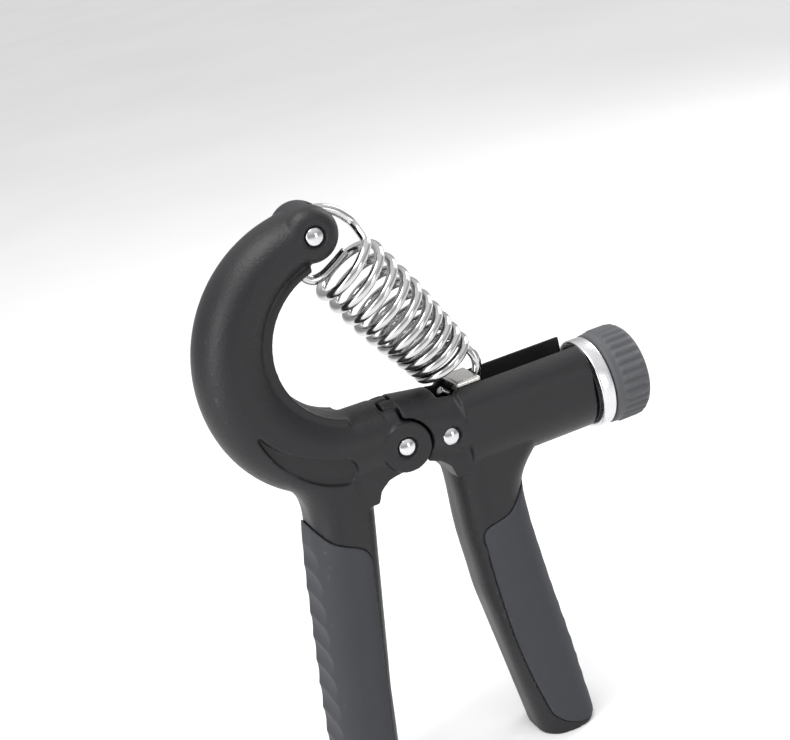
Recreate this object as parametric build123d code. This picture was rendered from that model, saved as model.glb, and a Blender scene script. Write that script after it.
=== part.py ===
"""Adjustable spring hand exerciser: two levers on a pivot, a tapered extension spring, and a
screw-driven slider in a slotted barrel that moves the spring's lower hook to set the force."""

import math
import os
from build123d import *

# ---- driving dimensions, mm -----------------------------------------------------------------
# Sketch frame: pivot axis at x = 0, z = 0, thickness along Y. HOME lifts it onto its handle ends.
FOOT = 95.0  # pivot axis above the floor
MID = 11.5  # pivot axis left of the middle of the overall width
HOME = Location((-MID, 0, FOOT))

BODY = 9.5  # half thickness of the levers
PIN = 2.0  # shank radius of the pivot and spring pins
HEAD = 2.35  # radius of a domed pin head
RING = 2.85  # radius of the recess round a head
FIT = 0.05  # running clearance on pins, bushes and the thread

ARM_C = (-8.0, 28.5)  # centre of the curved arm
SPRING_PIN = (-10.0, 57.3)
TIP = 6.9  # radius of the arm's forked tip
FORK = 1.75  # half width of the fork slot

EAR = 6.4  # radius of the left lever's ears round the pivot
WEB = 1.3  # half thickness of the left lever's middle web
TONGUE = (1.6, 4.6)  # the right lever's two tongues lie between these distances from mid-plane
AIR = 0.3  # side gap between the leaves of the knuckle

BARREL_Z = -4.5  # screw axis below the pivot axis
BARREL_R = 10.75
BARREL_TOP = 8.6
BARREL_END = 52.1
SLOT = 5.0  # half width of the barrel's open slot
SLOT_START = 11.6

KEEP_PIN = (11.7, -1.1)  # pin that holds the screw's tail
TAIL_R = 3.0
SCREW_R = 4.0
NUT = (17.7, 24.3)  # slider between these x at rest
HOOK_C = (19.5, 11.5)  # centre of the spring's lower loop
HOOK_R = 6.45

WIRE = 1.25  # spring wire radius
LOOP_C = (-5.5, 51.5)  # centre of the spring's upper loop
COIL_TOP = 8.65  # mean coil radius at the upper end
COIL_LOW = 7.15  # and at the lower end
TURNS = 9.5


# ---- helpers --------------------------------------------------------------------------------
def slab(sketch, y0, y1):
    """A sketch drawn in x and z, made solid between y0 and y1."""
    return extrude(Plane.XZ.offset(-y1) * sketch, amount=y1 - y0, dir=(0, -1, 0))


def disc(x, z, r, y0, y1):
    return slab(Pos(x, z) * Circle(r), y0, y1)


def tube_x(x0, x1, r, z=BARREL_Z):
    """A round bar along X on the screw axis."""
    return Pos((x0 + x1) / 2, 0, z) * Rot(0, 90, 0) * Cylinder(r, x1 - x0)


def brick(x0, x1, y0, y1, z0, z1):
    return Pos((x0 + x1) / 2, (y0 + y1) / 2, (z0 + z1) / 2) * Box(x1 - x0, y1 - y0, z1 - z0)


def both_sides(y0, y1, make):
    """The same slab on the near and the far side."""
    return make(y0, y1) + make(-y1, -y0)


def at_height(sections, z):
    """Inner x, outer x and half thickness of a handle at one height, between its given sections."""
    for low, high in zip(sections[1:], sections):
        if low[0] <= z <= high[0]:
            f = (high[0] - z) / (high[0] - low[0])
            return [a + (b - a) * f for a, b in zip(high[1:], low[1:])]
    return list(sections[-1][1:])


def handle(sections, grow=0.0):
    """A lofted handle; each section is (z, inner x, outer x, half thickness)."""
    top, bottom = sections[0][0], sections[-1][0]
    count = round((top - bottom) / 6.5)
    faces = []
    for k in range(count + 1):
        z = top + (bottom - top) * k / count
        xa, xb, half = at_height(sections, z)
        wide = abs(xb - xa) + 2 * grow
        deep = 2 * (half + grow)
        corner = 0.42 * min(wide, deep)
        faces.append(Pos((xa + xb) / 2, 0, z) * RectangleRounded(wide, deep, corner))
    return loft(faces)


def rims(shape, r):
    """The circular edges wider than a radius."""
    return [e for e in shape.edges().filter_by(GeomType.CIRCLE) if e.radius > r]


def rivet(x, z, half, shank):
    """A pin along Y with a domed head at each end."""
    body = disc(x, z, shank, -half, half)
    rise, ball = 1.33, 3.2
    for side in (1, -1):
        head = disc(x, z, HEAD, min(side * half, side * 20), max(side * half, side * 20))
        body += head & Pos(x, side * (half + rise - ball), z) * Sphere(ball)
    return body


# ---- left lever: curved arm, knuckle and handle in one moulding ------------------------------
def arm_section(angle, reach, a, b):
    """An oval across the arm; angle runs from straight up round the left side."""
    t = math.radians(angle)
    out = Vector(-math.sin(t), 0, math.cos(t))
    along = Vector(-math.cos(t), 0, -math.sin(t))
    origin = Vector(ARM_C[0], 0, ARM_C[1]) + out * reach
    return Plane(origin=origin, x_dir=out, z_dir=along) * Ellipse(a, b)


ARM = [
    (2, 28.6, 6.5, 8.4),
    (25, 28.2, 7.3, 8.9),
    (50, 28.0, 8.0, 9.3),
    (75, 27.8, 8.8, 9.5),
    (100, 27.8, 9.6, 9.5),
    (125, 27.8, 10.5, 9.5),
    (150, 27.6, 10.6, 9.5),
    (170, 26.8, 9.4, 9.5),
]
arm = loft([arm_section(*s) for s in ARM])

# the arm runs level into the knuckle with this oval section
KNUCKLE = Plane(origin=(0, 0, 2.2), x_dir=(0, 0, 1), z_dir=(1, 0, 0)) * Ellipse(8.9, BODY)
root = loft([arm_section(170, 26.8, 9.4, 9.5), Pos(-0.2, 0, 0) * KNUCKLE])
root += extrude(Pos(-0.2, 0, 0) * KNUCKLE, amount=0.5)

tip = disc(*SPRING_PIN, TIP, -8.4, 8.4)
tip = fillet(tip.edges().filter_by(GeomType.CIRCLE), 4.0)

# raised inner lip of the arm, narrower than the arm itself
lip_ring = disc(-7.4, 29.4, 21.6, -6.2, 6.2) - disc(-6.8, 30.0, 19.6, -7, 7)
lip_ring = fillet(rims(lip_ring, 21), 0.5)
lip = lip_ring & brick(-40, -12, -9, 9, 8, 52)

LEFT_HANDLE = [
    (3.0, -10.0, -34.0, 8.6),
    (-5.0, -9.6, -28.0, 9.0),
    (-12.0, -10.0, -26.4, 9.3),
    (-19.0, -11.1, -28.0, 9.5),
    (-30.0, -12.6, -29.8, 9.5),
    (-62.0, -17.2, -33.8, 9.3),
    (-FOOT, -20.6, -36.6, 9.0),
]
left_body = arm + root + tip + lip + handle(LEFT_HANDLE)
left_body += disc(0, 0, EAR, -BODY, BODY)
# soft arch under the knuckle
left_body += slab(make_face(Polyline((-15, -1), (-15, -12), (-9.9, -12), (-8.6, -9.0), (-6.0, -7.0),
                                     (-2.0, -6.3), (-2, -1), close=True)), -8.2, 8.2)

# leaves of the knuckle: room for the right lever's two tongues and for their stop lugs
room = disc(0, 0, EAR + 0.3, TONGUE[0] - AIR, TONGUE[1] + AIR)
room += brick(-3.3, 12, TONGUE[0] - AIR, TONGUE[1] + AIR, 0, 20)
room += brick(0, 12, TONGUE[0] - AIR, TONGUE[1] + AIR, -12, 1)
left_body -= room
left_body -= mirror(room, Plane.XZ)

# shallow groove across the top, left of the stop lugs
groove = brick(-3.3, -2.7, -12, 12, 4.5, 14)
groove -= extrude(Plane(origin=(-6, 0, 2.2), x_dir=(0, 0, 1), z_dir=(1, 0, 0)) * Ellipse(7.4, 8.0), amount=6)
left_body -= groove

# tapered finger pocket on both faces
pocket = make_face([
    Spline((-36.2, 17.5), (-31.6, 10.9), (-24.5, 6.0), (-16.4, 3.0)),
    ThreePointArc((-16.4, 3.0), (-13.6, -0.4), (-16.4, -3.9)),
    Spline((-16.4, -3.9), (-24.2, -1.0), (-31.2, 5.4), (-36.2, 17.5)),
])
left_body -= both_sides(7.6, 12.0, lambda a, b: slab(pocket, a, b))

# fork slot for the spring's upper loop
left_body -= slab(Pos(LOOP_C[0], LOOP_C[1]) * Circle(12.2), -FORK, FORK)

# pin holes and head recesses
left_body -= disc(*SPRING_PIN, PIN, -12, 12)
left_body -= disc(0, 0, PIN, -12, 12)
left_body -= both_sides(7.5, 12.0, lambda a, b: disc(*SPRING_PIN, RING, a, b))
left_body -= both_sides(8.6, 12.0, lambda a, b: disc(0, 0, RING, a, b))

# overmoulded grip: recess round the outer side of the handle
left_core = handle([(z, xa + (1.9 if xb > xa else -1.9), xb - (1.9 if xb > xa else -1.9), h - 1.9)
                    for z, xa, xb, h in LEFT_HANDLE[1:]])
left_zone = make_face([
    Spline((-40, -10.2), (-28.6, -11.4), (-24.6, -17.0), (-17.6, -21.0), (-16.0, -28.0)),
    Spline((-16.0, -28.0), (-19.8, -62.0), (-23.2, -88.0)),
    Spline((-23.2, -88.0), (-26.0, -91.0), (-40, -92.0)),
    Line((-40, -92.0), (-40, -10.2)),
])
left_recess = slab(left_zone, -14, 14) - left_core
left_lever = left_body - left_recess


def grip_waves(z0, z1, edge):
    """Round dips down the outer edge of a grip; edge(z) is that edge's x."""
    cuts = None
    count = 10
    for k in range(count):
        z = z0 + (z1 - z0) * (k + 0.5) / count
        x = edge(z)
        dip = disc(x + math.copysign(7.4, x), z, 8.0, -14, 14)
        cuts = dip if cuts is None else cuts + dip
    return cuts


left_grip = (handle(LEFT_HANDLE[1:], 0.5) & left_recess)
left_grip -= grip_waves(-18, -86, lambda z: -26.6 + 0.112 * (z + 10) - 1.0)

# ---- right lever: knuckle tongues, slotted barrel and handle in one moulding -----------------
barrel_face = Pos(0, BARREL_Z) * Circle(BARREL_R)
upper = Pos(0, (BARREL_TOP + BARREL_Z) / 2) * Rectangle(2 * BARREL_R, BARREL_TOP - BARREL_Z)
upper = fillet(upper.vertices().group_by(Axis.Y)[-1], 7.6)
barrel_face += upper
barrel = extrude(Plane.YZ.offset(16) * barrel_face, amount=BARREL_END - 16)
shoulder = loft([
    Pos(1.0, 0, 0) * KNUCKLE,
    Plane.YZ.offset(9) * (Pos(0, 1.0) * Ellipse(10.2, 8.7)),
    Plane.YZ.offset(17) * (Pos(0, -1.6) * Ellipse(10.75, 10.3)),
])
RIGHT_HANDLE = [
    (-5.0, 10.6, 41.0, 9.3),
    (-12.0, 11.4, 37.5, 9.3),
    (-17.0, 11.7, 32.4, 9.3),
    (-23.0, 11.8, 29.4, 9.4),
    (-32.0, 11.8, 29.6, 9.5),
    (-50.0, 13.2, 31.6, 9.5),
    (-72.0, 16.8, 34.6, 9.3),
    (-FOOT, 20.6, 36.6, 9.0),
]
right_body = barrel + shoulder + handle(RIGHT_HANDLE)
right_body += slab(make_face(Polyline((5.0, -2), (5.0, -6.0), (8.2, -7.2), (10.6, -9.6), (11.5, -13.0),
                                      (18, -13), (18, -2), close=True)), -8.2, 8.2)

# clear the left lever's ears and web, and leave the gap at the top
clear = disc(0, 0, EAR + 0.6, TONGUE[1] - 0.0, 14) + brick(-6, 0.9, TONGUE[1], 14, -12, 20)
right_body -= clear
right_body -= mirror(clear, Plane.XZ)
right_body -= disc(0, 0, EAR + 0.6, -TONGUE[0], TONGUE[0]) + brick(-6, 0.9, -TONGUE[0], TONGUE[0], -12, 20)

# tongues with stop lugs that show between the ears at the top
lug = make_face(Polyline((-2.7, 0), (-2.7, 11.0), (0.2, 11.0), (0.2, 0), close=True))
skin = extrude(Plane(origin=(-4, 0, 2.2), x_dir=(0, 0, 1), z_dir=(1, 0, 0)) * Ellipse(8.9, BODY), amount=6)
leaf = disc(0, 0, EAR - 0.2, *TONGUE) + (slab(lug, *TONGUE) & skin)
right_body += leaf + mirror(leaf, Plane.XZ)

# open slot in the barrel, round at the bottom
right_body -= brick(SLOT_START, BARREL_END + 2, -SLOT, SLOT, 3.4, 20)
right_body -= brick(15.9, BARREL_END + 2, -SLOT, SLOT, BARREL_Z, 20)
right_body -= tube_x(15.9, BARREL_END + 2, SLOT)
right_body -= tube_x(7.2, 17.0, TAIL_R + FIT)

# retaining pin hole and recesses
right_body -= disc(*KEEP_PIN, 1.5, -14, 14)
right_body -= both_sides(9.2, 14.0, lambda a, b: disc(*KEEP_PIN, RING - 0.15, a, b))
right_body -= disc(0, 0, 3.0, -TONGUE[1], -TONGUE[0]) + disc(0, 0, 3.0, *TONGUE)

right_core = handle([(z, xa + 1.9, xb - 1.9, h - 1.9) for z, xa, xb, h in RIGHT_HANDLE[2:]])
right_zone = make_face([
    Spline((42, -22.6), (26.6, -23.4), (22.4, -27.0), (16.6, -28.8), (15.1, -34.0)),
    Spline((15.1, -34.0), (16.2, -50.0), (19.4, -72.0), (23.2, -88.0)),
    Spline((23.2, -88.0), (26.0, -91.0), (42, -92.0)),
    Line((42, -92.0), (42, -22.6)),
])
right_recess = slab(right_zone, -14, 14) - right_core
right_lever = right_body - right_recess
right_grip = (handle(RIGHT_HANDLE[2:], 0.5) & right_recess)
right_grip -= grip_waves(-30, -86, lambda z: 29.0 - 0.112 * (z + 32) + 1.0)

# ---- pins and bushes -------------------------------------------------------------------------
pivot_pin = rivet(0, 0, BODY - 0.9, PIN)
spring_pin = rivet(*SPRING_PIN, 7.5, PIN)
screw_retaining_pin = rivet(*KEEP_PIN, 9.2, 1.5)
pivot_bushes = both_sides(*TONGUE, lambda a, b: disc(0, 0, 3.0, a, b) - disc(0, 0, PIN + FIT, a, b))

# ---- adjusting screw, slider and knob ---------------------------------------------------------
adjusting_screw = tube_x(7.5, 16.3, TAIL_R) + tube_x(16.3, 45.2, SCREW_R) + tube_x(45.2, 62.5, TAIL_R)
# neck that the retaining pin runs in
adjusting_screw -= tube_x(KEEP_PIN[0] - 1.6, KEEP_PIN[0] + 1.6, 5) - tube_x(5, 20, 1.85)
adjusting_screw = chamfer(adjusting_screw.edges().group_by(Axis.X)[0], 0.4)

slider_nut = brick(*NUT, -SLOT + 0.3, SLOT - 0.3, BARREL_Z, 9.7)
slider_nut += tube_x(*NUT, SLOT - 0.3)
slider_nut = chamfer(slider_nut.edges().group_by(Axis.Z)[-1], 0.5)
hook_way = disc(*HOOK_C, HOOK_R + 3.2, -2.0, 2.0) - disc(*HOOK_C, HOOK_R - 1.5, -3, 3)
slider_nut -= hook_way
slider_nut -= tube_x(10, 30, SCREW_R + FIT)

barrel_end_bush = tube_x(45.8, 51.6, SLOT) + brick(45.8, 51.6, -SLOT, SLOT, BARREL_Z, 1.6)
barrel_end_bush -= tube_x(40, 60, TAIL_R + FIT)
thrust_washer = tube_x(51.7, 52.6, 4.8) - tube_x(50, 54, TAIL_R + FIT)

knob_core = tube_x(52.7, 57.2, 10.4) + tube_x(57.2, 66.0, 9.7)
knob_core -= tube_x(50, 62.5, TAIL_R)
collar_ring = tube_x(53.2, 57.0, 11.9) - tube_x(50, 60, 10.4)
collar_ring = chamfer(rims(collar_ring, 11), 0.35)

knob = tube_x(57.25, 67.9, 12.2)
knob = fillet(knob.edges().group_by(Axis.X)[-1], 1.8)
RIBS = 30
ribs = None
for k in range(RIBS):
    t = 2 * math.pi * k / RIBS
    rib = Pos(63.4, 12.05 * math.sin(t), BARREL_Z + 12.05 * math.cos(t)) * Rot(0, 90, 0) * Cylinder(0.62, 6.8)
    ribs = rib if ribs is None else ribs + rib
knob += ribs
knob -= tube_x(50, 66.0, 9.7)
knob -= tube_x(66.0, 70, 5.6)
knob_cap = tube_x(66.0, 67.5, 5.6)
knob_pin = slab(Pos(59.5, BARREL_Z) * Circle(1.0), -9.2, 9.2)
adjusting_screw -= knob_pin
knob_core -= knob_pin

# ---- spring: upper loop and coils, middle coils, lower coils and hook ------------------------
AXIS = (Vector(HOOK_C[0], 0, HOOK_C[1]) - Vector(LOOP_C[0], 0, LOOP_C[1])).normalized()
SIDE = Vector(-AXIS.Z, 0, AXIS.X)  # across the axis, up and to the right
SPAN = (Vector(HOOK_C[0], 0, HOOK_C[1]) - Vector(LOOP_C[0], 0, LOOP_C[1])).length


def coil_point(turn):
    """Centre of the wire after that many turns from the upper right side."""
    t = turn / TURNS
    angle = 2 * math.pi * turn
    radius = COIL_TOP + (COIL_LOW - COIL_TOP) * max(0.0, (t - 0.4) / 0.6)
    lean = 0.5 - 1.9 * t * t
    along = 4.3 + 38.6 * (t + 0.06 * math.sin(math.pi * t)) - lean * math.cos(angle)
    across = SIDE * math.cos(angle) - Vector(0, 1, 0) * math.sin(angle)
    return Vector(LOOP_C[0], 0, LOOP_C[1]) + AXIS * along + across * radius


def loop_point(centre, radius, degrees, reach=0.0, y=0.0):
    """A point of a loop; the angle runs from SIDE back along the axis, where the loop may reach farther."""
    a = math.radians(degrees)
    back = (radius + reach * (math.sin(a) > 0)) * math.sin(a)
    return Vector(centre[0], y, centre[1]) + SIDE * (radius * math.cos(a)) - AXIS * back


def wire_along(points):
    path = Spline(*points)
    profile = Plane(origin=path @ 0, z_dir=path % 0) * Circle(WIRE)
    return sweep(profile, path=path)


UPPER_END, MIDDLE_END, CUT = 3.75, 5.75, 0.003
# free end inside the loop, round the pin, over the tip and into the first coil
upper_pts = [Vector(-8.2, 0, 45.5), Vector(-11.4, 0, 45.6)]
upper_pts += [loop_point(LOOP_C, 8.9, a, 1.85) for a in range(166, 5, -16)]
upper_pts += [loop_point(LOOP_C, 8.9, -6, y=-0.6)]
upper_pts += [coil_point(0.1 + (UPPER_END - 0.1) * k / 52) for k in range(53)]
spring_upper = wire_along(upper_pts)
mid_start, mid_end = UPPER_END + CUT, MIDDLE_END - CUT
spring_middle = wire_along([coil_point(mid_start + (mid_end - mid_start) * k / 28) for k in range(29)])
last = TURNS + 0.24
lower_pts = [coil_point(MIDDLE_END + (last - MIDDLE_END) * k / 56) for k in range(57)]
lower_pts += [loop_point(HOOK_C, HOOK_R + 0.1, a, y=y) for a, y in ((22, 3.2), (2, 1.0))]
lower_pts += [loop_point(HOOK_C, HOOK_R, a) for a in range(-20, -190, -17)]
spring_lower = wire_along(lower_pts)

# ---- write the parts --------------------------------------------------------------------------
PARTS = {
    "left_lever": left_lever,
    "left_grip": left_grip,
    "right_lever": right_lever,
    "right_grip": right_grip,
    "pivot_pin": pivot_pin,
    "pivot_bushes": pivot_bushes,
    "spring_pin": spring_pin,
    "screw_retaining_pin": screw_retaining_pin,
    "adjusting_screw": adjusting_screw,
    "slider_nut": slider_nut,
    "barrel_end_bush": barrel_end_bush,
    "thrust_washer": thrust_washer,
    "knob_core": knob_core,
    "collar_ring": collar_ring,
    "knob": knob,
    "knob_cap": knob_cap,
    "knob_pin": knob_pin,
    "spring_upper": spring_upper,
    "spring_middle": spring_middle,
    "spring_lower": spring_lower,
}
os.makedirs("parts", exist_ok=True)
for name, shape in PARTS.items():
    export_step(HOME * shape, f"parts/{name}.step")
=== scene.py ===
import math

import bmesh
import bpy
from mathutils import Matrix, Vector


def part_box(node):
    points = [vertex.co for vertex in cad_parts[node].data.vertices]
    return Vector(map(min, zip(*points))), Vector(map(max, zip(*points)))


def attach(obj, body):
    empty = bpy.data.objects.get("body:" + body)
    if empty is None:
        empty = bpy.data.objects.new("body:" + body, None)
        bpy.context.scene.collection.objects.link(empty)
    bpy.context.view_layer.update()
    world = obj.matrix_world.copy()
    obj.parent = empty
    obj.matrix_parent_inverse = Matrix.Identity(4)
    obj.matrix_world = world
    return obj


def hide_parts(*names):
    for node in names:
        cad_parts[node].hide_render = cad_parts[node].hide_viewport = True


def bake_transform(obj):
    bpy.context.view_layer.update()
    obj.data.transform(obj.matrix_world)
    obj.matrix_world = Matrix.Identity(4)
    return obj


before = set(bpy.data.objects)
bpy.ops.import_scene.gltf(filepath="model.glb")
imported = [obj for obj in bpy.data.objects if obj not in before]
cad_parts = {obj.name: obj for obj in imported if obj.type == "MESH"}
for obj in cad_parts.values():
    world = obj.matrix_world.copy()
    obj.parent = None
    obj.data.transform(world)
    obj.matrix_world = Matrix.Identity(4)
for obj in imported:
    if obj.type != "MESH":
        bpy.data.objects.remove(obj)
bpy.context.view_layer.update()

MM = 0.001
FULL_TURN = 2 * math.pi


def centre(node):
    low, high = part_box(node)
    return (low + high) / 2


PIVOT = centre("pivot_pin")
SCREW_AXIS_Z = centre("collar_ring").z
# Sizes and places below are in mm, and places are measured from the pivot axis.


# ---- materials --------------------------------------------------------------------------------
PLASTIC_SPECULAR = 0.3
GRAIN_DEPTH = 0.16 * MM
MARK_DEPTH = 0.03 * MM
EDGE_POINTINESS = (0.56, 0.7)  # where an edge starts and ends to look worn
# colour of the painted shade that ambient occlusion lays into metal hollows
PAINTED_SHADE_TONE = (0.035, 0.03, 0.028)


def shader(name, color, rough, metallic=0.0):
    m = bpy.data.materials.new(name)
    m.use_nodes = True
    b = m.node_tree.nodes["Principled BSDF"]
    b.inputs["Base Color"].default_value = (*color, 1)
    b.inputs["Roughness"].default_value = rough
    b.inputs["Metallic"].default_value = metallic
    if not metallic:
        b.inputs["Specular IOR Level"].default_value = PLASTIC_SPECULAR
    return m, m.node_tree.nodes, m.node_tree.links, b


def coords(nodes, links, scale=(1, 1, 1)):
    tc = nodes.new("ShaderNodeTexCoord")
    mp = nodes.new("ShaderNodeMapping")
    mp.inputs["Scale"].default_value = scale
    links.new(tc.outputs["Object"], mp.inputs["Vector"])
    return mp.outputs["Vector"]


def noise(nodes, links, vec, scale, detail=4.0, rough=0.55):
    n = nodes.new("ShaderNodeTexNoise")
    n.inputs["Scale"].default_value = scale
    n.inputs["Detail"].default_value = detail
    n.inputs["Roughness"].default_value = rough
    links.new(vec, n.inputs["Vector"])
    return n.outputs["Fac"]


def ranged(nodes, links, value, low, high, a=0.3, b=0.7):
    """value, from a to b, spread over low to high."""
    r = nodes.new("ShaderNodeMapRange")
    r.inputs["From Min"].default_value = a
    r.inputs["From Max"].default_value = b
    r.inputs["To Min"].default_value = low
    r.inputs["To Max"].default_value = high
    links.new(value, r.inputs["Value"])
    return r.outputs["Result"]


def ramp(nodes, links, value, stops):
    r = nodes.new("ShaderNodeValToRGB")
    while len(r.color_ramp.elements) < len(stops):
        r.color_ramp.elements.new(0.5)
    for element, (position, color) in zip(r.color_ramp.elements, stops):
        element.position = position
        element.color = (*color, 1)
    links.new(value, r.inputs["Fac"])
    return r.outputs["Color"]


def mixed(nodes, links, factor):
    """A colour mix node driven by factor; its sockets are A, B and Result."""
    mix = nodes.new("ShaderNodeMix")
    mix.data_type = "RGBA"
    links.new(factor, mix.inputs["Factor"])
    return mix


def bump(nodes, links, b, height, strength, distance):
    n = nodes.new("ShaderNodeBump")
    n.inputs["Strength"].default_value = strength
    n.inputs["Distance"].default_value = distance
    links.new(height, n.inputs["Height"])
    links.new(n.outputs["Normal"], b.inputs["Normal"])


def scaled(color, factor):
    return tuple(c * factor for c in color)


def moulded(name, dark, light, rough, grain, strength):
    """Moulded plastic or rubber: fine spark-eroded grain, uneven sheen, lighter worn edges."""
    m, nodes, links, b = shader(name, dark, rough[0])
    v = coords(nodes, links)
    broad = noise(nodes, links, v, 38, 3)
    fine = noise(nodes, links, v, grain, 2, 0.7)
    geo = nodes.new("ShaderNodeNewGeometry")
    wear = ranged(nodes, links, geo.outputs["Pointiness"], 0, 0.5, *EDGE_POINTINESS)
    mix = mixed(nodes, links, wear)
    links.new(ramp(nodes, links, broad, [(0.3, dark), (0.75, scaled(dark, 1.25))]), mix.inputs["A"])
    mix.inputs["B"].default_value = (*light, 1)
    links.new(mix.outputs["Result"], b.inputs["Base Color"])
    links.new(ranged(nodes, links, broad, *rough), b.inputs["Roughness"])
    bump(nodes, links, b, fine, strength, GRAIN_DEPTH)
    return m


def metal(name, color, rough, stretch=(1, 1, 1), scale=900, strength=0.05, painted_shade_depth=0.0):
    """Turned, drawn or plated metal with fine marks, and with painted shade darkening its hollows up to the
    given depth in metres.
    """
    m, nodes, links, b = shader(name, color, rough[0], 1.0)
    marks = noise(nodes, links, coords(nodes, links, stretch), scale, 3, 0.6)
    cloud = noise(nodes, links, coords(nodes, links), 120, 3)
    links.new(ranged(nodes, links, marks, *rough), b.inputs["Roughness"])
    tone = ramp(nodes, links, cloud, [(0.3, scaled(color, 0.86)), (0.7, color)])
    # painted shade: ambient occlusion mixes the dark tone into hollows and crevices
    if painted_shade_depth:
        shade = nodes.new("ShaderNodeAmbientOcclusion")
        shade.samples = 8
        shade.inputs["Distance"].default_value = painted_shade_depth
        mix = mixed(nodes, links, ranged(nodes, links, shade.outputs["AO"], 0.0, 1.0, 0.25, 0.8))
        mix.inputs["A"].default_value = (*PAINTED_SHADE_TONE, 1)
        links.new(tone, mix.inputs["B"])
        tone = mix.outputs["Result"]
    links.new(tone, b.inputs["Base Color"])
    bump(nodes, links, b, marks, strength, MARK_DEPTH)
    return m


LEVER = moulded("lever_plastic", (0.0105, 0.0102, 0.0115), (0.05, 0.05, 0.054), (0.36, 0.47), 1500, 0.7)
RUBBER = moulded("grip_rubber", (0.03, 0.031, 0.036), (0.075, 0.076, 0.085), (0.6, 0.72), 1500, 0.5)
KNOB = moulded("knob_rubber", (0.068, 0.069, 0.074), (0.15, 0.15, 0.16), (0.52, 0.64), 1500, 0.4)
BUSH = moulded("nylon_black", (0.012, 0.012, 0.013), (0.04, 0.04, 0.04), (0.35, 0.45), 1200, 0.2)
CHROME = metal("pin_chrome", (0.66, 0.66, 0.67), (0.09, 0.16), scale=700, strength=0.03)
# the spring wire gets painted shade between its coils
SPRING = metal("spring_chrome", (0.6, 0.595, 0.6), (0.1, 0.19), scale=500, painted_shade_depth=6 * MM)
STEEL = metal("screw_steel", (0.62, 0.62, 0.64), (0.18, 0.3), scale=1500, strength=0.1)
# the slider nut gets painted shade in its hollows
NUT = metal("nut_steel", (0.6, 0.585, 0.56), (0.2, 0.34), (3, 1, 1), strength=0.12, painted_shade_depth=4 * MM)
BRASS = metal("bush_brass", (0.72, 0.53, 0.27), (0.2, 0.32), (1, 6, 1), 700, 0.1)
ALU = metal("ring_aluminium", (0.72, 0.72, 0.735), (0.22, 0.34), (22, 0.6, 0.6), 420, 0.22)


# ---- mesh helpers -----------------------------------------------------------------------------
def finish_mesh(name, bm, material):
    bmesh.ops.recalc_face_normals(bm, faces=bm.faces)
    me = bpy.data.meshes.new(name)
    bm.to_mesh(me)
    bm.free()
    for p in me.polygons:
        p.use_smooth = True
    me.materials.append(material)
    ob = bpy.data.objects.new(name, me)
    bpy.context.scene.collection.objects.link(ob)
    return ob


END_STEPS = (0.55, 0.88)  # shares of the wire's radius at its rounded cut ends
END_DEPTH = 0.25


def tube(name, points, radius, material, sides=18):
    """A round wire along points, with rounded cut ends and a section that doesn't twist."""
    tangents = [(points[min(i + 1, len(points) - 1)] - points[max(i - 1, 0)]).normalized()
                for i in range(len(points))]
    normal = tangents[0].orthogonal().normalized()
    bm = bmesh.new()
    rings = []

    def ring(middle, t, n, r):
        side = t.cross(n)
        rings.append([bm.verts.new(middle + (n * math.cos(a) + side * math.sin(a)) * r)
                      for a in (FULL_TURN * k / sides for k in range(sides))])

    for i, (p, t) in enumerate(zip(points, tangents)):
        if i:
            normal = (normal - t * normal.dot(t)).normalized()
        if i == 0:
            for f in END_STEPS:
                ring(p - t * radius * END_DEPTH * (1 - f), t, normal, radius * f)
        ring(p, t, normal, radius)
        if i == len(points) - 1:
            for f in reversed(END_STEPS):
                ring(p + t * radius * END_DEPTH * (1 - f), t, normal, radius * f)
    for a, b in zip(rings, rings[1:]):
        for k in range(sides):
            bm.faces.new((a[k], a[(k + 1) % sides], b[(k + 1) % sides], b[k]))
    bm.faces.new(list(reversed(rings[0])))
    bm.faces.new(rings[-1])
    return finish_mesh(name, bm, material)


def lathe(name, rows, steps, material, radius=None):
    """A solid turned about the screw axis. rows are (x, r), and radius(x, r, angle) may change r.
    Rows start and end on the axis, or go round the section of a ring."""
    bm = bmesh.new()
    grid = []
    for x, r in rows:
        if r == 0:
            grid.append([bm.verts.new((PIVOT.x + x * MM, 0, SCREW_AXIS_Z))])
            continue
        row = []
        for k in range(steps):
            a = FULL_TURN * k / steps
            rr = (radius(x, r, a) if radius else r) * MM
            y, z = rr * math.sin(a), SCREW_AXIS_Z + rr * math.cos(a)
            row.append(bm.verts.new((PIVOT.x + x * MM, y, z)))
        grid.append(row)
    closed = rows[0][1] != 0
    pairs = list(zip(grid, grid[1:])) + ([(grid[-1], grid[0])] if closed else [])
    for a, b in pairs:
        for k in range(steps):
            n = (k + 1) % steps
            if len(a) == 1:
                bm.faces.new((a[0], b[k], b[n]))
            elif len(b) == 1:
                bm.faces.new((a[k], a[n], b[0]))
            else:
                bm.faces.new((a[k], a[n], b[n], b[k]))
    return finish_mesh(name, bm, material)


def catmull(points, per=6):
    """A smooth path through points."""
    out = []
    n = len(points)
    for i in range(n - 1):
        p0, p1 = points[max(i - 1, 0)], points[i]
        p2, p3 = points[i + 1], points[min(i + 2, n - 1)]
        for k in range(per):
            t = k / per
            out.append(0.5 * ((2 * p1) + (p2 - p0) * t + (2 * p0 - 5 * p1 + 4 * p2 - p3) * t * t
                              + (3 * p1 - 3 * p2 + p3 - p0) * t ** 3))
    out.append(points[-1])
    return out


def stand_in(node):
    """The CAD node is hidden, so that a piece built here is shown in its place."""
    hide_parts(node)


# ---- CAD nodes that carry over ------------------------------------------------------------------
WELD_WITHIN = 0.01 * MM


def dress(node, material):
    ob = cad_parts[node]
    ob.data.materials.clear()
    ob.data.materials.append(material)
    return ob


def soften(node, material, voxel, passes):
    """An even fine mesh with every edge melted a little, as on a moulding or a polished rivet."""
    ob = dress(node, material)
    r = ob.modifiers.new("even", "REMESH")
    r.mode = "VOXEL"
    r.voxel_size = voxel * MM
    r.use_smooth_shade = True
    s = ob.modifiers.new("soften", "SMOOTH")
    s.factor = 0.5
    s.iterations = passes


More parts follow.
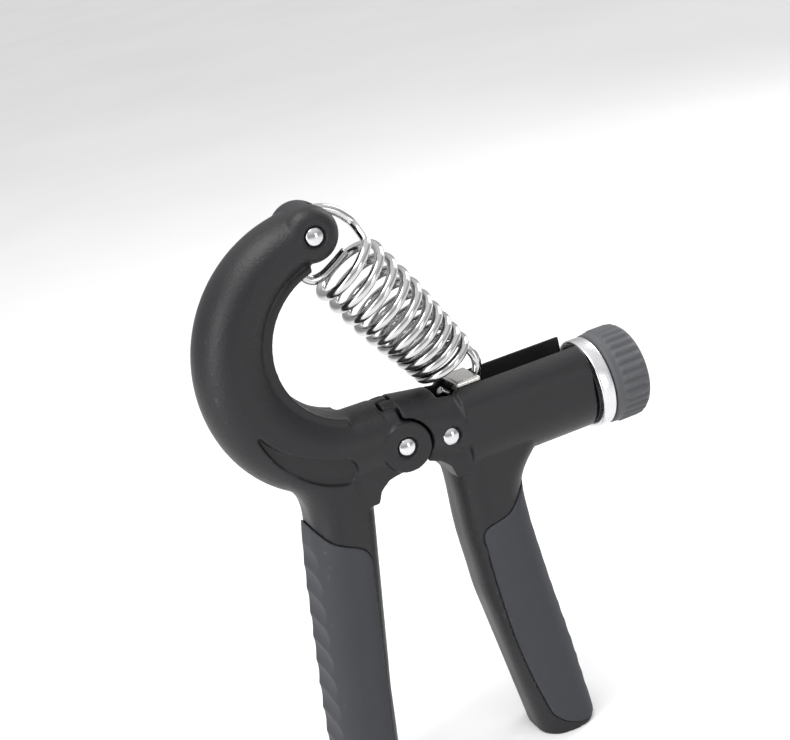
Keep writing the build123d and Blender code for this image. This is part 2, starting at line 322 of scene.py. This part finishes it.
def break_edges(node, material, width):
    """Sharp edges broken by a small round, as on a turned part."""
    ob = dress(node, material)
    w = ob.modifiers.new("weld", "WELD")
    w.merge_threshold = WELD_WITHIN
    v = ob.modifiers.new("edge", "BEVEL")
    v.width = width * MM
    v.segments = 3
    v.limit_method = "ANGLE"
    v.angle_limit = math.radians(35)
    v.harden_normals = True


for lever in ("left_lever", "right_lever"):
    soften(lever, LEVER, 0.36, 7)
for grip in ("left_grip", "right_grip"):
    soften(grip, RUBBER, 0.36, 9)
for pin in ("pivot_pin", "spring_pin", "screw_retaining_pin"):
    soften(pin, CHROME, 0.12, 3)
soften("slider_nut", NUT, 0.2, 4)
break_edges("pivot_bushes", BRASS, 0.15)
break_edges("barrel_end_bush", BUSH, 0.3)
break_edges("thrust_washer", STEEL, 0.15)
break_edges("knob_core", BUSH, 0.3)
break_edges("knob_cap", KNOB, 0.3)
break_edges("knob_pin", STEEL, 0.2)

# ---- spring: one chromed wire in three pieces, the middle one carried by the spring_mid body -----
WIRE = 1.25
TURNS = 9.5
UPPER_END, MIDDLE_END, LAST_TURN = 3.75, 5.75, TURNS + 0.24  # the turns where each piece ends
LOOP_C = Vector((-5.5, 0, 51.5))
LOOP_R, LOOP_REACH = 8.9, 1.85
HOOK_C = Vector((19.5, 0, 11.5))
HOOK_R = 6.45
COIL_TOP, COIL_LOW = 8.65, 7.15
COIL_START, COIL_LENGTH = 4.3, 38.6
TAPER_FROM = 0.4
ALONG = (HOOK_C - LOOP_C).normalized()
SIDE = Vector((-ALONG.z, 0, ALONG.x))
DEEP = Vector((0, 1, 0))


def coil_along(turn):
    """How far along the spring's axis that turn lies; the coils sit a little closer towards the hook."""
    t = turn / TURNS
    return COIL_START + COIL_LENGTH * (t + 0.06 * math.sin(math.pi * t))


def coil_point(turn):
    t = turn / TURNS
    angle = FULL_TURN * turn
    taper = max(0.0, (t - TAPER_FROM) / (1 - TAPER_FROM))
    radius = COIL_TOP + (COIL_LOW - COIL_TOP) * taper
    lean = 0.5 - 1.9 * t * t
    along = coil_along(turn) - lean * math.cos(angle)
    return LOOP_C + ALONG * along + (SIDE * math.cos(angle) - DEEP * math.sin(angle)) * radius


def loop_point(middle, radius, degrees, reach=0.0, y=0.0):
    """A point of an end loop; the side away from the coils may reach farther."""
    a = math.radians(degrees)
    back = (radius + reach * (math.sin(a) > 0)) * math.sin(a)
    return middle + SIDE * (radius * math.cos(a)) - ALONG * back + DEEP * y


def coil(a, b, per=64):
    n = round((b - a) * per)
    return [coil_point(a + (b - a) * k / n) for k in range(n + 1)]


def placed(points):
    return [PIVOT + p * MM for p in points]


def upper_wire():
    """From the free end inside the loop, round the pin, over the fork's tip and into the coil."""
    bend = [Vector((-1.0, 0, 49.6)), Vector((-4.6, 0, 47.3)), Vector((-8.2, 0, 45.5))]
    bend += [Vector((-11.4, 0, 45.6))]
    bend += [loop_point(LOOP_C, LOOP_R, a, LOOP_REACH) for a in range(166, 5, -16)]
    bend += [loop_point(LOOP_C, LOOP_R, -4, y=-0.35), loop_point(LOOP_C, 8.85, -16, y=-1.7)]
    bend += [coil_point(0.09), coil_point(0.15), coil_point(0.21)]
    return tube("spring_wire_upper", placed(catmull(bend, 8) + coil(0.22, UPPER_END)), WIRE * MM, SPRING)


def middle_wire():
    return tube("spring_wire_middle", placed(coil(UPPER_END, MIDDLE_END)), WIRE * MM, SPRING)


def lower_wire():
    """From the coil to the hook through the slider nut."""
    bend = [coil_point(LAST_TURN - 0.04), coil_point(LAST_TURN)]
    bend += [loop_point(HOOK_C, HOOK_R + 0.1, a, y=y) for a, y in ((22, 3.2), (2, 1.0))]
    bend += [loop_point(HOOK_C, HOOK_R, a) for a in range(-20, -190, -17)]
    path = coil(MIDDLE_END, LAST_TURN - 0.05) + catmull(bend)
    return tube("spring_wire_lower", placed(path), WIRE * MM, SPRING)


spring_upper, spring_middle, spring_lower = upper_wire(), middle_wire(), lower_wire()
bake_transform(spring_upper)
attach(spring_middle, "spring_mid")
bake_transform(spring_lower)
stand_in("spring_upper")
stand_in("spring_middle")
stand_in("spring_lower")

# ---- adjusting screw with its rolled thread ------------------------------------------------------
PITCH = 1.25
THREAD = (16.3, 45.2)
THREAD_R, THREAD_DEPTH, RUN_OUT = 4.0, 0.68, 0.3
SHANK_R, PIN_GROOVE_R = 3.0, 1.85
ROWS_PER_PITCH = 12


def thread(x, r, a):
    """The thread's flanks, cut into the plain bar between the run-outs."""
    if not THREAD[0] + RUN_OUT < x < THREAD[1] - RUN_OUT:
        return r
    f = (x / PITCH - a / FULL_TURN) % 1.0
    return r - THREAD_DEPTH * min(1.0, max(0.0, abs(2 * f - 1) * 1.3 - 0.15))


def adjusting_screw():
    rows = [(7.5, 0), (7.5, 2.6), (7.9, SHANK_R), (10.0, SHANK_R), (10.2, PIN_GROOVE_R)]
    rows += [(13.2, PIN_GROOVE_R), (13.4, SHANK_R), (THREAD[0], SHANK_R)]
    length = THREAD[1] - THREAD[0]
    count = round(length / PITCH * ROWS_PER_PITCH)
    rows += [(THREAD[0] + length * k / count, 3.45 if k in (0, count) else THREAD_R)
             for k in range(count + 1)]
    rows += [(THREAD[1], SHANK_R), (62.1, SHANK_R), (62.4, 2.7), (62.4, 0)]
    return lathe("adjusting_screw_threaded", rows, 40, STEEL, thread)


screw = adjusting_screw()
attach(screw, "screw")
stand_in("adjusting_screw")

# ---- collar ring ---------------------------------------------------------------------------------
RING_FACES = (53.2, 57.0)
RING_BORE, RING_R = 10.45, 11.9


def collar_ring():
    near, far = RING_FACES
    rows = [(near, RING_BORE), (near, 11.5), (near + 0.08, 11.72), (near + 0.3, 11.86)]
    rows += [(near + 0.6, RING_R), (55.0, RING_R), (far - 0.6, RING_R)]
    rows += [(far - 0.28, 11.86), (far - 0.08, 11.72), (far, 11.5), (far, RING_BORE)]
    return lathe("collar_ring_turned", rows, 192, ALU)


ring = collar_ring()
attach(ring, "screw")
stand_in("collar_ring")

# ---- knob: ribbed soft-touch sleeve ---------------------------------------------------------------
RIBS = 32
RIB_FROM, RIB_TO = 59.3, 67.2
RIB_RISE, RIB_GROOVE = 0.62, 0.12
SLEEVE_R, SLEEVE_BORE, SLEEVE_FACE = 12.05, 9.75, 57.3
EDGE_R, EDGE_FROM, EDGE_STEPS = 2.05, 65.8, 8  # the round outer edge
CAP_SEAT = 66.1
SMOOTH_UNDER = 11.0  # radii under this have no ribs


def share(value):
    return max(0.0, min(1.0, value))


def knob_radius(x, r, a):
    """Rounded ribs that rise out of the sleeve and fade into its outer edge."""
    if r < SMOOTH_UNDER:
        return r
    rise = share((x - RIB_FROM) / 1.0) * share((RIB_TO - x) / 1.6)
    rise = rise * rise * (3 - 2 * rise)
    wave = 0.5 + 0.5 * math.cos(RIBS * a)
    return r + rise * (RIB_RISE * wave ** 0.65 - RIB_GROOVE)


def knob_sleeve():
    rows = [(SLEEVE_FACE, SLEEVE_BORE), (SLEEVE_FACE, 11.3), (57.45, 11.75), (57.8, SLEEVE_R), (58.3, 12.12)]
    rows += [(58.8 + 0.35 * k, SLEEVE_R) for k in range(20)]
    for k in range(1, EDGE_STEPS + 1):
        a = math.pi / 2 * k / EDGE_STEPS
        rows.append((EDGE_FROM + EDGE_R * math.sin(a), SLEEVE_R - EDGE_R + EDGE_R * math.cos(a)))
    rows += [(67.85, 6.2), (67.7, 5.75), (CAP_SEAT, 5.65), (CAP_SEAT, SLEEVE_BORE)]
    return lathe("knob_sleeve", rows, RIBS * 12, KNOB, knob_radius)


knob = knob_sleeve()
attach(knob, "screw")
stand_in("knob")


# ---- studio, in metres -----------------------------------------------------------------------------
LIT_POINT = Vector((0.0, 0.0, 0.11))
FLOOR_HALF = 14.0
PAPER = [(0.3, (0.77, 0.77, 0.775)), (0.7, (0.81, 0.81, 0.815))]
SKY_LOW, SKY_HIGH = (0.5, 0.505, 0.515), (1.0, 1.0, 1.0)


def area(name, where, size, power):
    """A soft rectangular light that faces the object."""
    light = bpy.data.lights.new(name, "AREA")
    light.shape = "RECTANGLE"
    light.size, light.size_y = size
    light.energy = power
    ob = bpy.data.objects.new(name, light)
    bpy.context.scene.collection.objects.link(ob)
    ob.location = where
    ob.rotation_euler = (LIT_POINT - Vector(where)).to_track_quat("-Z", "Y").to_euler()


def paper_floor():
    bm = bmesh.new()
    bmesh.ops.create_grid(bm, x_segments=8, y_segments=8, size=FLOOR_HALF)
    paper, nodes, links, b = shader("studio_paper", (0.9, 0.9, 0.905), 0.6)
    mottle = noise(nodes, links, coords(nodes, links), 5.0)
    links.new(ramp(nodes, links, mottle, PAPER), b.inputs["Base Color"])
    finish_mesh("studio_floor", bm, paper)


def soft_sky():
    """An even pale light, greyer near the horizon so that the chrome has two tones to mirror."""
    world = bpy.data.worlds.new("studio")
    world.use_nodes = True
    nodes, links = world.node_tree.nodes, world.node_tree.links
    sky = nodes.new("ShaderNodeTexCoord")
    height = nodes.new("ShaderNodeSeparateXYZ")
    links.new(sky.outputs["Generated"], height.inputs["Vector"])
    tone = ramp(nodes, links, height.outputs["Z"], [(0.0, SKY_LOW), (0.25, SKY_LOW), (0.7, SKY_HIGH)])
    links.new(tone, nodes["Background"].inputs["Color"])
    nodes["Background"].inputs["Strength"].default_value = 1.0
    bpy.context.scene.world = world


area("key_top", (-0.20, -0.10, 0.80), (0.5, 0.4), 4.6)
area("strip_left", (-0.62, -0.22, 0.30), (0.16, 0.6), 2.6)
area("rim_right", (0.55, 0.25, 0.42), (0.3, 0.5), 2.0)
area("front_fill", (0.25, -0.75, 0.25), (0.22, 0.4), 0.9)
paper_floor()
soft_sky()
bpy.context.scene.view_settings.view_transform = "Standard"

# ---- camera: from the front left, a little above, rolled so that the barrel climbs ----------------
YAW, RISE, ROLL = math.radians(19.22), math.radians(19.8), math.radians(13.08)
DISTANCE = 398.3
PIVOT_RIGHT, PIVOT_UP = -0.37, -16.8  # where the pivot lies from the middle of the view
LENS, SENSOR = 72.9, 36.0
NEAR_CLIP = 10 * MM


def camera():
    forward = Vector((math.sin(YAW) * math.cos(RISE), math.cos(YAW) * math.cos(RISE), -math.sin(RISE)))
    level = forward.cross(Vector((0, 0, 1))).normalized()
    upright = level.cross(forward)
    right = level * math.cos(ROLL) - upright * math.sin(ROLL)
    up = level * math.sin(ROLL) + upright * math.cos(ROLL)
    eye = PIVOT + (-forward * DISTANCE - right * PIVOT_RIGHT - up * PIVOT_UP) * MM
    cam = bpy.data.cameras.new("camera")
    cam.sensor_width = SENSOR
    cam.lens = LENS
    cam.clip_start = NEAR_CLIP
    ob = bpy.data.objects.new("camera", cam)
    bpy.context.scene.collection.objects.link(ob)
    turned = Matrix((right, up, -forward)).transposed().to_4x4()
    ob.matrix_world = Matrix.Translation(eye) @ turned
    return ob


bpy.context.scene.camera = camera()
